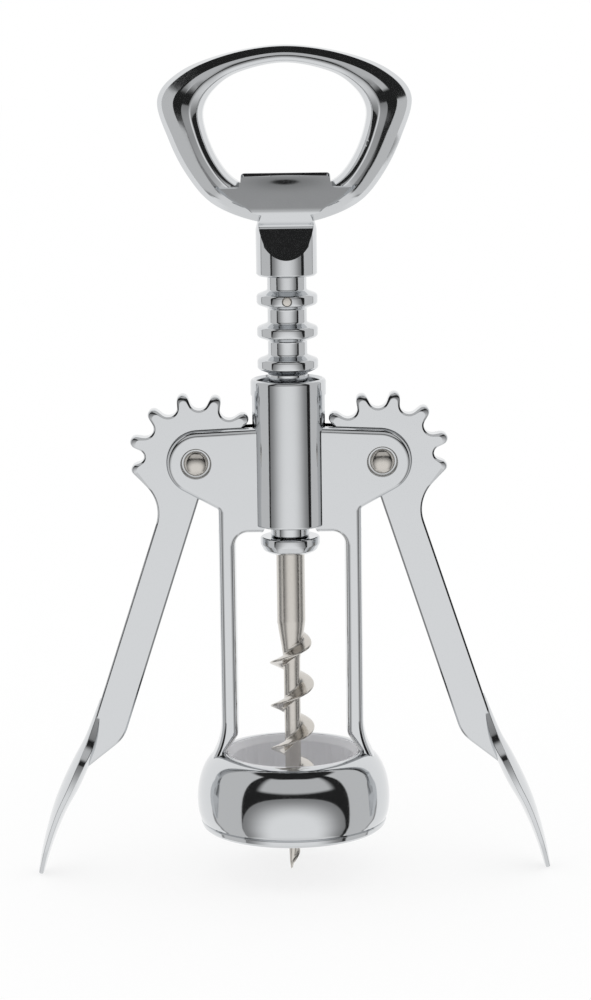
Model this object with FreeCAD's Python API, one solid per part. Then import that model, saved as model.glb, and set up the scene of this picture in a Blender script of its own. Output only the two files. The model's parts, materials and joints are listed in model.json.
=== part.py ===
"""Wing corkscrew: a die-cast frame, two geared levers and a turning spindle with an annular rack.

Millimetres. +Z is up along the worm, X runs across the two levers, and the origin is the
centre of the bell's bottom rim. Every piece is written to parts/ at its place at rest.
"""
import FreeCAD, Part
import math
import os
from FreeCAD import Vector

# --- gear train --------------------------------------------------------------------------
PIVOT_X = 19.95              # lever pivot, from the spindle axis
PIVOT_Z = 80.9
TOOTH_STEP = 29.75           # degrees between two teeth
FIRST_TOOTH = -17.5          # degrees, the lowest tooth on the spindle's side
TOOTH_COUNT = 7
STUB_TOOTH = 187.0           # a last tooth that runs into the waist and meets no ring
GEAR_TIP_R = 14.85
GEAR_ROOT_R = 11.2
TOOTH_ROUND = 1.25           # radius of a tooth's end
VALLEY_ROUND = 1.55          # radius of the hollow between two teeth
RING_PITCH = 6.95            # from one rack ring to the next

# --- frame casting -----------------------------------------------------------------------
BARREL_R = 8.1
BARREL_BORE_R = 6.85
BARREL_BOTTOM = 66.9
BARREL_TOP = 98.6
BARREL_ROUND = 0.7
LEAD_IN = 0.5                # chamfer at the bore's mouth
PLATE_HALF = 4.2             # half the depth of ears and legs, front to back
PLATE_DRAFT = 1.2            # how much narrower the front and back faces are than the middle
SLOT_HALF = 2.3              # half the gap that the lever turns in
SLOT_FLOOR_Z = 65.6
SLOT_ROOF_Z = 95.2
SLOT_UPPER_X = 4.0           # the gap starts here above the pivot, in the barrel's bore
SLOT_LOWER_X = 11.2          # and here below it
SLOT_OUT_X = 30.0
TOOTH_CLEARANCE = 0.45       # radial, round the teeth
EAR_X = 19.4                 # centre of the ear's rounded end
EAR_R = 6.75
EAR_TOP_Z = 88.65            # where the ear's top edge meets the barrel
ROOT_X = 5.0                 # the web's root, inside the barrel wall
LEG_OUT_X = 15.5
LEG_IN_X = 11.7
ARCH_R = 2.7
ARCH_Z = 62.8
EAR_CORNER_Z = 70.3
EAR_CORNER_R = 0.6
KNEE_Z = 22.6                # the leg's inner edge starts to spread here
KNEE_R = 2.2
FLARE_Z = 24.0               # and its outer edge here
FLARE_R = 15.9
ANKLE_Z = 17.1
ANKLE_R = 1.5
FOOT_IN_X = 14.3
FOOT_OUT_X = 19.4
FOOT_Z = 12.0

# --- bell --------------------------------------------------------------------------------
BELL_R = 21.0                # at its widest
BELL_WIDE_Z = 6.4
BELL_MOUTH_R = 15.3          # top opening, outer edge of its rim
BELL_TOP = 16.7
BELL_RIM_R = 19.2            # bottom rim
BELL_BEAD_R = 19.8           # rounded bead above it
BELL_BEAD_Z = 1.4
BELL_HEM = (19.6, 0.47)      # a corner between the bead and the rim: radius and height
BELL_LIP = 0.3               # height of the top opening's chamfer
BELL_TUCK_R = 20.7           # halfway from the widest ring down to the bead
BELL_TUCK_Z = 3.6
BELL_BORE_R = 17.6
BELL_STEP_Z = 10.4           # the bore narrows here
BELL_NECK_R = 14.7

# --- bush that seats on the bottle's lip -----------------------------------------------
BUSH_BORE_R = 15.2
BUSH_SEAT_Z = 9.0
BUSH_NECK_R = 13.6
BUSH_TAPER = 0.3             # how much wider each bore is at its mouth
BUSH_BOTTOM = 0.6
BUSH_TOP = 16.2

# --- rivets --------------------------------------------------------------------------------
RIVET_R = 1.7
RIVET_HEAD_R = 2.15
RIVET_DOME = 1.0
RECESS_R = 3.2
RECESS_DEPTH = 0.5
RUNNING_GAP = 0.05           # radial, between parts that turn on each other
SEATED_GAP = 0.02            # radial, between parts that are pressed together

# --- lever ---------------------------------------------------------------------------------
LEVER_HALF = 2.1
LEVER_DRAFT = 0.5
ARM_LEAN = 18.1              # degrees from vertical
ARM_HALF = 3.95              # half the arm's width, square to its length
WAIST_X = -16.9              # centre of the hollow below the last tooth, from the pivot
WAIST_Z = -10.9
WAIST_R = 8.4
ARMPIT_R = 1.5
ARMPIT_REACH = 7.7           # from the pivot to the armpit's centre
ELBOW = (39.3, 25.0)         # x and z of a point on the arm's centre line
WEB_TOP = (43.2, 24.0)       # the arm's outline enters the paddle here
WEB_TIP = (46.0, 12.9)       # and the web behind the elbow ends here, inside the paddle
WEB_SLOPE = 39.0             # degrees, of the web's lower edge
ELBOW_R = 8.0                # of the elbow's inner side
ELBOW_START = 22.5           # height at which the elbow's inner side starts to curve
# the paddle from inside the arm to its tip: centre x and z, lean, half thickness in the middle
# and at its edges, half width front to back
PADDLE = (
    (41.6, 27.0, 18.0, 1.0, 0.4, 1.8),
    (43.8, 20.0, 22.0, 1.5, 0.9, 3.3),
    (46.1, 15.0, 27.0, 1.85, 0.7, 5.6),
    (48.5, 10.0, 27.0, 1.95, 0.55, 6.7),
    (50.95, 5.0, 23.5, 1.6, 0.5, 6.8),
    (52.85, 0.0, 19.5, 1.25, 0.45, 6.1),
    (54.4, -5.0, 16.0, 0.95, 0.4, 4.6),
    (55.6, -9.9, 14.0, 0.6, 0.4, 1.9),
)
CROWN_SHARE = 0.16           # rise of the paddle's faces, as a share of their slope
MIN_CROWN = 0.02             # flatter faces than this are plane

# --- rack and collar -------------------------------------------------------------------------
RING_R = 6.5
RING_SHOULDER_R = 6.2
RACK_NECK_R = 4.2
RING_TIP_HALF = 0.75         # half the flat on a ring's edge
RING_SHOULDER_HALF = 1.15
RING_ROOT_HALF = 1.95
FIRST_RING_Z = 115.7
RING_COUNT = 7
STEM_BOTTOM = 120.75
RACK_BOTTOM = 64.4
SPIGOT_R = 2.6
SPIGOT_HOLE_Z = 107.0        # floor of the hole that the handle's spigot fills
SPIGOT_BOTTOM = 107.3
PIN_R = 1.0
PIN_END = 6.35               # how far the cross pin reaches to the front and back
COLLAR_R = 6.4
COLLAR_BOTTOM = 60.8
COLLAR_TOP = 64.3
COLLAR_FOOT_R = 4.65         # flat ring at the collar's bottom
COLLAR_BAND_Z = 62.9         # the rounded belly ends here
COLLAR_BELLY = (5.85, 61.55)     # a point on the belly: radius and height
COLLAR_CHAMFER = 0.45

# --- worm ----------------------------------------------------------------------------------
SHANK_R = 3.05
SHANK_TOP = 84.0
SHANK_END_Z = 45.0
POINT_Z = -10.25
FLIGHT_PITCH = 9.6
FLIGHT_LEFT_Z = 26.6         # the flight passes the left side at this height
FLIGHT_RIM_HALF = 8.0        # half the rim's width, in degrees of turn
FLIGHT_FOOT_HALF = 42.0      # half the foot's width, in degrees of turn
WORM_STEPS = 12              # sections in each turn
# from the shank down to the point: height, core radius, flight radius, shift to the left
WORM = (
    (45.0, 3.05, 3.05, 0.0),
    (43.0, 2.7, 3.6, 0.0),
    (40.0, 2.2, 4.6, 0.0),
    (37.0, 1.8, 4.75, 0.0),
    (8.0, 1.7, 4.75, 0.0),
    (3.0, 1.4, 3.4, 0.0),
    (-1.5, 1.15, 1.3, 0.1),
    (-6.0, 0.75, 0.78, 0.35),
    (-10.25, 0.12, 0.12, 0.6),
)

# --- handle --------------------------------------------------------------------------------
STEM_R = 6.5
STEM_CHAMFER = 0.4
STEM_SHOULDER_Z = 130.6      # the stem narrows from here up into the grip
STEM_NECK = (5.6, 134.4)     # radius and height halfway up the shoulder
STEM_TOP = (3.0, 136.8)
LIP_HALF = 9.5               # half the width of the cap lifter's lip
LIP_TOP = 142.5
LIP_SIDE_Z = 138.6           # the lip's sides start to close in here
LIP_ROOT_HALF = 5.0
LIP_ROOT_Z = 133.0
LIP_ROUND = 0.6
LIP_FRONT_Y = -2.6
LIP_BACK_Y = 0.6
SCOOP_R = 7.95               # curve of the hollow below the lip, seen from the side
SCOOP_Z = 131.5              # the curve starts here
SCOOP_END_Z = 124.6
SCOOP_ROOF_Z = 146.0
SCOOP_FACE_Y = -6.6          # the hollow's outline is drawn here, just in front of the stem
SCOOP_FLOOR_SHARE = 0.7      # and shrinks to this share of it at the middle plane
SCOOP_MIDDLE_Z = 137.0
# the hollow's outline seen from the front, from its roof to its tip: half width and height
SCOOP_OUTLINE = ((13.5, 146.0), (15.2, 140.4), (9.2, 135.9), (6.2, 131.4), (4.4, 126.6), (0.0, 123.9))
# half of the grip's ring from the stem to the top: outline outside, outline inside, half depth,
# and how far the front and back faces' outer crease lies inside the outline
GRIP = (
    ((0.0, 131.4), (0.0, 138.8), 5.0, 1.4),
    ((8.2, 132.6), (6.2, 139.5), 4.9, 1.4),
    ((15.9, 136.2), (11.0, 141.6), 4.6, 1.4),
    ((21.0, 142.2), (14.4, 146.0), 4.5, 1.4),
    ((24.7, 149.7), (16.6, 151.6), 4.6, 1.4),
    ((26.8, 158.3), (17.0, 156.2), 4.7, 1.4),
    ((21.8, 164.1), (14.6, 160.3), 4.3, 1.25),
    ((11.8, 167.8), (9.5, 163.7), 3.6, 1.05),
    ((0.0, 169.3), (0.0, 165.6), 3.2, 0.95),
)
# the section across the grip: where its points lie from the inner to the outer outline, -1 to 1,
# less this share of the crease's width, and their depth as a share of the half depth
GRIP_SECTION = ((1.0, 0.1, 0.5), (1.0, 1.0, 0.9), (0.1, 0.0, 1.0), (-0.6, 0.0, 0.88), (-0.93, 0.0, 0.5))

OUT = "parts"
NEAR = 0.01                  # how closely an edge's height is matched when it is picked
UP = Vector(0, 0, 1)
BACK = Vector(0, 1, 0)


# --- small tools -------------------------------------------------------------------------
def at(x, z, y=0.0):
    """A point of the front plane, moved back by y."""
    return Vector(x, y, z)


def heading(degrees):
    """The unit vector at an angle from +X towards +Z."""
    return at(math.cos(math.radians(degrees)), math.sin(math.radians(degrees)))


def angle_of(vector):
    return math.degrees(math.atan2(vector.z, vector.x))


def line(a, b):
    return Part.LineSegment(a, b).toShape()


def arc(a, mid, b):
    return Part.Arc(a, mid, b).toShape()


def chain(points):
    """Straight edges through the points and back to the first."""
    return [line(a, b) for a, b in zip(points, points[1:] + points[:1])]


def touching_line(c0, r0, c1, r1):
    """Ends of the line that leaves circle 0 and meets circle 1. A positive radius is rounded
    to the left, a negative one to the right, and zero is a corner."""
    span = c1 - c0
    turn = math.degrees(math.asin((r0 - r1) / span.Length))
    side = heading(angle_of(span) + turn - 90)
    return c0 + side * r0, c1 + side * r1


def belt(circles):
    """The closed outline that runs round the circles, straight from each one to the next."""
    following = circles[1:] + circles[:1]
    runs = [touching_line(c0, r0, c1, r1) for (c0, r0), (c1, r1) in zip(circles, following)]
    edges = []
    for (centre, radius), (_, arrive), (leave, end) in zip(circles, runs[-1:] + runs[:-1], runs):
        if radius:
            start = angle_of(arrive - centre)
            sweep = (angle_of(leave - centre) - start) % 360
            if radius < 0:
                sweep -= 360
            middle = centre + heading(start + sweep / 2) * abs(radius)
            edges.append(arc(arrive, middle, leave))
        edges.append(line(leave, end))
    return Part.Wire(edges)


def revolved(edges):
    """A closed profile of the front plane turned about the spindle axis."""
    return Part.Face(Part.Wire(edges)).revolve(Vector(0, 0, 0), UP, 360)


def drum(radius, z0, z1):
    """A cylinder on the spindle axis."""
    return Part.makeCylinder(radius, z1 - z0, at(0, z0), UP)


def cross_rod(radius, x, z, y0, y1):
    """A cylinder that runs front to back."""
    return Part.makeCylinder(radius, y1 - y0, at(x, z, y0), BACK)


def block(x0, x1, y0, y1, z0, z1):
    return Part.makeBox(x1 - x0, y1 - y0, z1 - z0, Vector(x0, y0, z0))


def mirrored(shape):
    """The same shape on the other side of the spindle."""
    return shape.mirror(Vector(0, 0, 0), Vector(1, 0, 0))


def one_solid(shape):
    """The one solid of a boolean's result, with leftover seams removed."""
    solids = shape.removeSplitter().Solids
    if len(solids) != 1:
        raise ValueError("expected one solid, got %d" % len(solids))
    return solids[0]


def drafted(outline, half, draft):
    """A plate that is widest at its middle plane and narrows evenly to both faces."""
    halves = []
    for side in (-1, 1):
        face = outline(draft)
        face.translate(Vector(0, side * half, 0))
        halves.append(Part.makeLoft([outline(0.0), face], True, True))
    return halves[0].fuse(halves[1])


# --- frame -----------------------------------------------------------------------------------
def flank_outline(inset):
    """One side of the frame: web, arch, leg, the foot that runs into the bell, and the ear."""
    return belt([
        (at(ROOT_X, EAR_TOP_Z - inset), 0),
        (at(ROOT_X, ARCH_Z + ARCH_R + inset), 0),
        (at(LEG_IN_X - ARCH_R, ARCH_Z), -ARCH_R - inset),
        (at(LEG_IN_X + KNEE_R, KNEE_Z), KNEE_R - inset),
        (at(FOOT_IN_X - ANKLE_R, ANKLE_Z), -ANKLE_R - inset),
        (at(FOOT_IN_X + inset, FOOT_Z), 0),
        (at(FOOT_OUT_X - inset, FOOT_Z), 0),
        (at(LEG_OUT_X + FLARE_R, FLARE_Z), -FLARE_R - inset),
        (at(LEG_OUT_X + EAR_CORNER_R, EAR_CORNER_Z), -EAR_CORNER_R - inset),
        (at(EAR_X, PIVOT_Z), EAR_R - inset),
    ])


def lever_slot():
    """The gap between the two ears, wide enough for the whole turn of the gear."""
    sweep = cross_rod(GEAR_TIP_R + TOOTH_CLEARANCE, PIVOT_X, PIVOT_Z, -SLOT_HALF, SLOT_HALF)
    upper = block(SLOT_UPPER_X, SLOT_OUT_X, -SLOT_HALF, SLOT_HALF, PIVOT_Z, SLOT_ROOF_Z)
    lower = block(SLOT_LOWER_X, SLOT_OUT_X, -SLOT_HALF, SLOT_HALF, SLOT_FLOOR_Z, PIVOT_Z)
    return sweep.fuse([upper, lower])


def bell_shell():
    """Outside a quarter ellipse down to the widest ring and a tucked rim, inside a stepped bore."""
    top = at(BELL_MOUTH_R, BELL_TOP)
    wide = at(BELL_R, BELL_WIDE_Z)
    ellipse = Part.Ellipse(top, wide, at(BELL_MOUTH_R, BELL_WIDE_Z))
    dome = Part.ArcOfEllipse(ellipse, 0, math.pi / 2).toShape()
    bead = at(BELL_BEAD_R, BELL_BEAD_Z)
    walls = [
        bead,
        at(*BELL_HEM),
        at(BELL_RIM_R, 0),
        at(BELL_BORE_R, 0),
        at(BELL_BORE_R, BELL_STEP_Z),
        at(BELL_NECK_R, BELL_STEP_Z),
        at(BELL_NECK_R, BELL_TOP - BELL_LIP),
        top,
    ]
    skirt = arc(wide, at(BELL_TUCK_R, BELL_TUCK_Z), bead)
    return revolved([dome, skirt] + [line(a, b) for a, b in zip(walls, walls[1:])])


def frame_casting():
    """Barrel, ears, legs and bell in one casting."""
    right = drafted(flank_outline, PLATE_HALF, PLATE_DRAFT)
    body = drum(BARREL_R, BARREL_BOTTOM, BARREL_TOP)
    body = body.makeFillet(BARREL_ROUND, [e for e in body.Edges if e.BoundBox.ZMin > BARREL_TOP - NEAR])
    body = body.fuse([right, mirrored(right)])
    slot = lever_slot()
    body = body.cut([slot, mirrored(slot)])
    well = drum(BELL_NECK_R, BELL_STEP_Z, ANKLE_Z + ANKLE_R)
    body = body.cut(well).fuse(bell_shell())
    bore = drum(BARREL_BORE_R, ARCH_Z, BARREL_TOP)
    lead_in = Part.makeCone(BARREL_BORE_R, BARREL_BORE_R + LEAD_IN, LEAD_IN, at(0, BARREL_TOP - LEAD_IN), UP)
    tools = [bore, lead_in]
    floor = PLATE_HALF - RECESS_DEPTH
    for x in (-PIVOT_X, PIVOT_X):
        tools.append(cross_rod(RIVET_R + SEATED_GAP, x, PIVOT_Z, -PLATE_HALF, PLATE_HALF))
        tools.append(cross_rod(RECESS_R, x, PIVOT_Z, -PLATE_HALF, -floor))
        tools.append(cross_rod(RECESS_R, x, PIVOT_Z, floor, PLATE_HALF))
    return one_solid(body.cut(tools))


def bottle_bush():
    """Plastic bush in the bell: a wide bore for the bottle, a seat for its lip, a neck above."""
    out_low = BELL_BORE_R - SEATED_GAP
    out_high = BELL_NECK_R - SEATED_GAP
    return one_solid(revolved(chain([
        at(out_low, BUSH_BOTTOM),
        at(out_low, BELL_STEP_Z - SEATED_GAP),
        at(out_high, BELL_STEP_Z - SEATED_GAP),
        at(out_high, BUSH_TOP),
        at(BUSH_NECK_R + BUSH_TAPER, BUSH_TOP),
        at(BUSH_NECK_R, BELL_STEP_Z),
        at(BUSH_NECK_R, BUSH_SEAT_Z),
        at(BUSH_BORE_R, BUSH_SEAT_Z),
        at(BUSH_BORE_R + BUSH_TAPER, BUSH_BOTTOM),
    ])))


def pivot_rivet(x):
    """A plain shank with a low dome at each end, sunk in the ears' recesses."""
    floor = PLATE_HALF - RECESS_DEPTH
    shank = cross_rod(RIVET_R, x, PIVOT_Z, -floor, floor)
    ball_r = (RIVET_HEAD_R ** 2 + RIVET_DOME ** 2) / (2 * RIVET_DOME)
    heads = []
    for side in (-1, 1):
        ball = Part.makeSphere(ball_r, at(x, PIVOT_Z, side * (floor + RIVET_DOME - ball_r)))
        y0, y1 = sorted((side * floor, side * (floor + 2 * RIVET_DOME)))
        heads.append(ball.common(cross_rod(RIVET_HEAD_R, x, PIVOT_Z, y0, y1)))
    return one_solid(shank.fuse(heads))


# --- lever -----------------------------------------------------------------------------------
def lever_outline(inset):
    """Teeth, waist, straight arm and the web behind the elbow, of the left lever."""
    pivot = at(-PIVOT_X, PIVOT_Z)
    teeth = [FIRST_TOOTH + TOOTH_STEP * i for i in range(TOOTH_COUNT)] + [STUB_TOOTH]
    circles = []
    for angle, following in zip(teeth, teeth[1:] + [None]):
        tooth = heading(angle) * (GEAR_TIP_R - TOOTH_ROUND)
        circles.append((pivot + tooth, TOOTH_ROUND - inset))
        if following:
            valley = heading((angle + following) / 2) * (GEAR_ROOT_R + VALLEY_ROUND)
            circles.append((pivot + valley, -VALLEY_ROUND - inset))
    down = heading(270 - ARM_LEAN)
    outward = heading(180 - ARM_LEAN)
    inner_edge = at(-ELBOW[0], ELBOW[1]) - outward * ARM_HALF
    # the elbow's centre lies across the arm from where its inner side starts to curve
    elbow = inner_edge + down * ((ELBOW_START - inner_edge.z) / down.z) + outward * ELBOW_R
    # the armpit's centre lies beside the arm's inner edge, at its reach from the pivot
    beside = inner_edge - outward * ARMPIT_R - pivot
    along = beside.dot(down)
    climb = along - math.sqrt(along ** 2 - beside.dot(beside) + ARMPIT_REACH ** 2)
    return belt(circles + [
        (pivot + at(WAIST_X, WAIST_Z), -WAIST_R - inset),
        (at(-WEB_TOP[0], WEB_TOP[1]) - outward * inset, 0),
        (at(-WEB_TIP[0], WEB_TIP[1] + inset / math.cos(math.radians(WEB_SLOPE))), 0),
        (elbow, ELBOW_R - inset),
        (pivot + beside - down * climb, -ARMPIT_R - inset),
    ])


def paddle_section(x, z, lean, middle, edge, half):
    """A six-sided section square to the paddle: crowned outside and inside, with thin edges."""
    centre = at(-x, z)
    out = heading(180 - lean)
    crown = (middle - edge) * CROWN_SHARE * min(1.0, (half - LEVER_HALF) / 2)
    corners = [(0, middle), (-half, edge), (-half, -edge), (0, -middle), (half, -edge), (half, edge)]
    points = [centre + out * t + BACK * y for y, t in corners]
    edges = []
    for (_, ta), (_, tb), a, b in zip(corners, corners[1:] + corners[:1], points, points[1:] + points[:1]):
        if ta * tb < 0 or crown < MIN_CROWN:
            edges.append(line(a, b))
        else:
            edges.append(arc(a, (a + b) * 0.5 + out * math.copysign(crown, ta), b))
    return Part.Wire(edges)


def lever():
    """The left lever: geared plate, straight arm and a leaf-shaped paddle turned across it."""
    plate = drafted(lever_outline, LEVER_HALF, LEVER_DRAFT)
    paddle = Part.makeLoft([paddle_section(*row) for row in PADDLE], True, False)
    bore = cross_rod(RIVET_R + RUNNING_GAP, -PIVOT_X, PIVOT_Z, -PLATE_HALF, PLATE_HALF)
    return one_solid(plate.fuse(paddle).cut(bore))


# --- spindle -----------------------------------------------------------------------------------
def ring_rack():
    """A neck with evenly spaced rings that the levers' teeth push, bored at both ends."""
    outline = [at(SPIGOT_R + SEATED_GAP, STEM_BOTTOM), at(RACK_NECK_R, STEM_BOTTOM)]
    for i in range(RING_COUNT):
        z = FIRST_RING_Z - RING_PITCH * i
        outline += [
            at(RACK_NECK_R, z + RING_ROOT_HALF),
            at(RING_SHOULDER_R, z + RING_SHOULDER_HALF),
            at(RING_R, z + RING_TIP_HALF),
            at(RING_R, z - RING_TIP_HALF),
            at(RING_SHOULDER_R, z - RING_SHOULDER_HALF),
            at(RACK_NECK_R, z - RING_ROOT_HALF),
        ]
    outline += [
        at(RACK_NECK_R, RACK_BOTTOM),
        at(SHANK_R + SEATED_GAP, RACK_BOTTOM),
        at(SHANK_R + SEATED_GAP, SHANK_TOP),
        at(0, SHANK_TOP),
        at(0, SPIGOT_HOLE_Z),
        at(SPIGOT_R + SEATED_GAP, SPIGOT_HOLE_Z),
    ]
    pin_hole = cross_rod(PIN_R + SEATED_GAP, 0, FIRST_RING_Z, -RING_R, RING_R)
    return one_solid(revolved(chain(outline)).cut(pin_hole))


def rack_pin():
    """The cross pin that holds the handle's spigot in the rack."""
    return cross_rod(PIN_R, 0, FIRST_RING_Z, -PIN_END, PIN_END)


def thrust_collar():
    """A round-bottomed ring at the rack's lower end, loose enough for the worm to turn in."""
    bore = SHANK_R + RUNNING_GAP
    foot = at(COLLAR_FOOT_R, COLLAR_BOTTOM)
    band = at(COLLAR_R, COLLAR_BAND_Z)
    rim = [
        foot,
        at(bore, COLLAR_BOTTOM),
        at(bore, COLLAR_TOP),
        at(COLLAR_R - COLLAR_CHAMFER, COLLAR_TOP),
        at(COLLAR_R, COLLAR_TOP - COLLAR_CHAMFER),
        band,
    ]
    edges = [line(a, b) for a, b in zip(rim, rim[1:])]
    return one_solid(revolved(edges + [arc(band, at(*COLLAR_BELLY), foot)]))


def worm_section(z):
    """A level slice: a round core with one ridge, which turns once in each pitch."""
    for above, below in zip(WORM, WORM[1:]):
        if below[0] <= z <= above[0]:
            share = (z - below[0]) / (above[0] - below[0])
            core, reach, shift = [b + (a - b) * share for a, b in zip(above[1:], below[1:])]
    turn = 180 + 360 * (z - FLIGHT_LEFT_Z) / FLIGHT_PITCH

    def on(radius, degrees):
        a = math.radians(turn + degrees)
        return Vector(radius * math.cos(a) - shift, radius * math.sin(a), z)

    foot = on(core, FLIGHT_FOOT_HALF)
    rim = on(reach, FLIGHT_RIM_HALF)
    far_rim = on(reach, -FLIGHT_RIM_HALF)
    far_foot = on(core, -FLIGHT_FOOT_HALF)
    return Part.Wire([line(far_foot, far_rim), arc(far_rim, on(reach, 0), rim), line(rim, foot),
                      arc(foot, on(core, 180), far_foot)])


def worm():
    """Steel auger: a plain shank, then a core with one right-handed flight down to the point."""
    count = round((SHANK_END_Z - POINT_Z) / FLIGHT_PITCH * WORM_STEPS)
    heights = [SHANK_END_Z + (POINT_Z - SHANK_END_Z) * i / count for i in range(count + 1)]
    auger = Part.makeLoft([worm_section(z) for z in heights], True, False)
    return one_solid(auger.fuse(drum(SHANK_R, SHANK_END_Z, SHANK_TOP)))


# --- handle --------------------------------------------------------------------------------
def grip_section(outer, inner, depth, crease):
    """Points round a section of the grip, from its outer point: a steep flank in front of the
    crease, a broad slightly crowned face, a rounded inner edge, and the same at the back."""
    centre = (at(*outer) + at(*inner)) * 0.5
    reach = (at(*outer) - at(*inner)).Length / 2
    out = (at(*outer) - centre).normalize()
    front = [centre + out * (share * reach - part * crease) - BACK * (depth * deep)
             for share, part, deep in GRIP_SECTION]
    back = [Vector(p.x, -p.y, p.z) for p in reversed(front)]
    return [at(*outer)] + front + [at(*inner)] + back


def closed_curve(points, parameters):
    curve = Part.BSplineCurve()
    curve.interpolate(Points=points, PeriodicFlag=True, Parameters=parameters)
    return curve


def grip_ring():
    """The closed ring of the handle, thin over the top and full at its corners: one smooth
    surface through all of its sections, closed both round the section and round the ring."""
    left = [((-o[0], o[1]), (-i[0], i[1]), d, c) for o, i, d, c in GRIP[-2:0:-1]]
    sections = [grip_section(*row) for row in list(GRIP) + left]
    count = len(sections[0])
    middles = [(points[0] + points[count // 2]) * 0.5 for points in sections]
    along = [0.0]
    for a, b in zip(middles, middles[1:] + middles[:1]):
        along.append(along[-1] + (b - a).Length)
    across = [float(i) for i in range(count + 1)]
    long_ways = [closed_curve([points[i] for points in sections], along) for i in range(count)]
    rings = [closed_curve(list(poles), across) for poles in zip(*[c.getPoles() for c in long_ways])]
    surface = Part.BSplineSurface()
    surface.buildFromPolesMultsKnots(
        [ring.getPoles() for ring in rings],
        long_ways[0].getMultiplicities(), rings[0].getMultiplicities(),
        long_ways[0].getKnots(), rings[0].getKnots(), True, True, 3, 3)
    ring = Part.Solid(Part.Shell([surface.toShape()]))
    if ring.Volume < 0:
        ring.reverse()
    return ring


def scoop():
    """What is cut away in front of the lip: flat behind the cap's edge, then curved out to the
    stem when seen from the side, and shaped like a vase with sloping sides from the front."""
    centre = Vector(0, LIP_FRONT_Y - SCOOP_R, SCOOP_Z)
    end = Vector(0, centre.y + math.sqrt(SCOOP_R ** 2 - (SCOOP_Z - SCOOP_END_Z) ** 2), SCOOP_END_Z)
    start = Vector(0, LIP_FRONT_Y, SCOOP_Z)
    bend = centre + ((start - centre) + (end - centre)).normalize() * SCOOP_R
    side = [end, at(0, SCOOP_END_Z, SCOOP_FACE_Y), at(0, SCOOP_ROOF_Z, SCOOP_FACE_Y),
            at(0, SCOOP_ROOF_Z, LIP_FRONT_Y), start]
    edges = [line(a, b) for a, b in zip(side, side[1:])]
    width = 2 * max(x for x, _ in SCOOP_OUTLINE)
    profile = Part.Wire(edges + [arc(start, bend, end)])
    profile.translate(at(-width, 0))
    run = Part.Face(profile).extrude(at(2 * width, 0))
    roof, shoulder, armpit, throat, waist, tip = [at(x, z, SCOOP_FACE_Y) for x, z in SCOOP_OUTLINE]
    right = [line(at(0, SCOOP_ROOF_Z, SCOOP_FACE_Y), roof), line(roof, shoulder),
             arc(shoulder, armpit, throat), arc(throat, waist, tip)]
    left = [mirrored(edge) for edge in right]
    vase = Part.Wire(Part.sortEdges(right + left)[0])
    floor = vase.copy()
    floor.scale(SCOOP_FLOOR_SHARE, at(0, SCOOP_MIDDLE_Z, SCOOP_FACE_Y))
    floor.translate(BACK * -SCOOP_FACE_Y)
    return run.common(Part.makeLoft([vase, floor], True, True))


def lip_plate():
    """The flat tongue whose top edge catches under a bottle cap."""
    right = [at(LIP_ROOT_HALF, LIP_ROOT_Z), at(LIP_HALF, LIP_SIDE_Z), at(LIP_HALF, LIP_TOP)]
    left = [at(-p.x, p.z) for p in reversed(right)]
    plate = Part.Face(Part.Wire(chain(right + left))).extrude(BACK * (LIP_BACK_Y - LIP_FRONT_Y))
    plate.translate(BACK * LIP_FRONT_Y)
    return plate.makeFillet(LIP_ROUND, [e for e in plate.Edges if e.BoundBox.ZMin > LIP_TOP - NEAR])


def opener_handle():
    """Grip ring, cap lifter lip and stem in one casting, with the spigot that enters the rack."""
    shoulder = at(STEM_R, STEM_SHOULDER_Z)
    top = at(*STEM_TOP)
    walls = [
        top,
        at(0, top.z),
        at(0, STEM_BOTTOM),
        at(STEM_R - STEM_CHAMFER, STEM_BOTTOM),
        at(STEM_R, STEM_BOTTOM + STEM_CHAMFER),
        shoulder,
    ]
    stem = revolved([line(a, b) for a, b in zip(walls, walls[1:])] + [arc(shoulder, at(*STEM_NECK), top)])
    body = grip_ring().fuse([stem, lip_plate()]).cut(scoop())
    spigot = drum(SPIGOT_R, SPIGOT_BOTTOM, STEM_SHOULDER_Z)
    pin_hole = cross_rod(PIN_R + SEATED_GAP, 0, FIRST_RING_Z, -RING_R, RING_R)
    return one_solid(body.fuse(spigot).cut(pin_hole))


def main():
    left = lever()
    pieces = {
        "frame_casting": frame_casting(),
        "bottle_bush": bottle_bush(),
        "pivot_rivet_left": pivot_rivet(-PIVOT_X),
        "pivot_rivet_right": pivot_rivet(PIVOT_X),
        "lever_left": left,
        "lever_right": mirrored(left),
        "opener_handle": opener_handle(),
        "ring_rack": ring_rack(),
        "rack_pin": rack_pin(),
        "thrust_collar": thrust_collar(),
        "worm": worm(),
    }
    os.makedirs(OUT, exist_ok=True)
    for name, shape in pieces.items():
        if not shape.isValid():
            raise ValueError(name + " is not valid")
        shape.exportStep(os.path.join(OUT, name + ".step"))
        box = shape.BoundBox
        print("%-18s %9.1f mm3  z %.1f to %.1f" % (name, shape.Volume, box.ZMin, box.ZMax))


main()
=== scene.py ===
"""Wing corkscrew: finishes, finely shaped pieces and a studio round the construction model.

Sizes are in millimetres unless a name says otherwise, and a mesh is scaled to metres when it is
made. +Z is up along the worm and the two levers spread along X. A point of the front plane is a
complex number, x + z·1j, and a point of a turned profile is its radius + height·1j.
"""
import json
import math

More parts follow.
